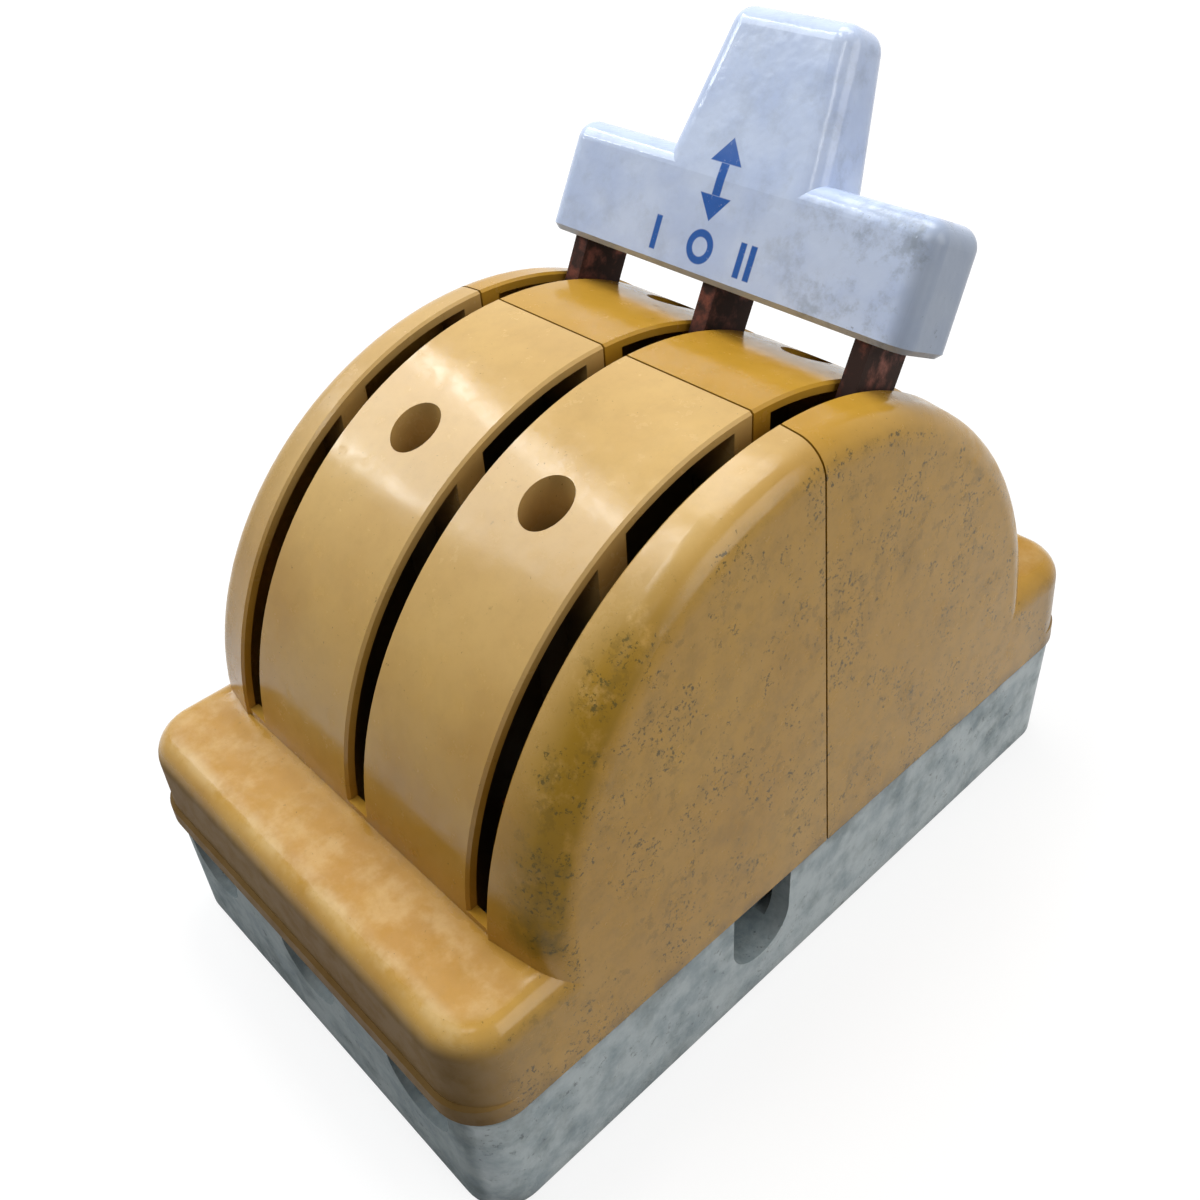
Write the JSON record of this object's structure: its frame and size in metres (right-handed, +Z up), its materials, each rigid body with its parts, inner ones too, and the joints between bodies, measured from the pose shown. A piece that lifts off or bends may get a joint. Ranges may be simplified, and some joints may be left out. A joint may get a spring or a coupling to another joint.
{
  "type": "knife switch",
  "caption": "Double-throw knife switch: porcelain base, slotted arched moulded covers and copper blades swung by a porcelain T handle between front and rear contacts.",
  "frame": {"origin": "middle of the base's underside, on the surface that the switch stands on or is fixed to", "axes": "+X across the poles to the right, +Y along the throw towards the rear, +Z up out of the base"},
  "size_m": [0.1232, 0.202, 0.1846],
  "materials": {
    "base_porcelain": "dull blue-grey glaze, dirty",
    "cover_plastic": "glossy yellow ochre moulding with dark specks and stains",
    "handle_porcelain": "shiny bluish white wavy glaze",
    "blade_copper": "dark brown oxidised copper",
    "contact_copper": "bare copper, slightly dulled",
    "fastener_steel": "zinc plated steel"
  },
  "bodies": {
    "switch_body": {"base": "base_porcelain", "front_cover": "cover_plastic", "rear_cover": "cover_plastic", "hinge_post_left": "contact_copper", "hinge_post_middle": "contact_copper", "hinge_post_right": "contact_copper", "front_jaw_left": "contact_copper", "front_jaw_middle": "contact_copper", "front_jaw_right": "contact_copper", "rear_jaw_left": "contact_copper", "rear_jaw_middle": "contact_copper", "rear_jaw_right": "contact_copper", "terminal_bolts": "fastener_steel", "terminal_nuts": "fastener_steel", "cover_screws": "fastener_steel", "cover_nuts": "fastener_steel", "pivot_bolts": "fastener_steel", "pivot_nuts": "fastener_steel"},
    "blade_set": {"handle": "handle_porcelain", "blade_left": "blade_copper", "blade_middle": "blade_copper", "blade_right": "blade_copper"}
  },
  "joints": [
    {"name": "handle_throw", "type": "hinge", "parent": "switch_body", "child": "blade_set", "pos_m": [0, 0, 0.062], "axis": [1, 0, 0], "range_deg": [-60, 111.6]}
  ]
}
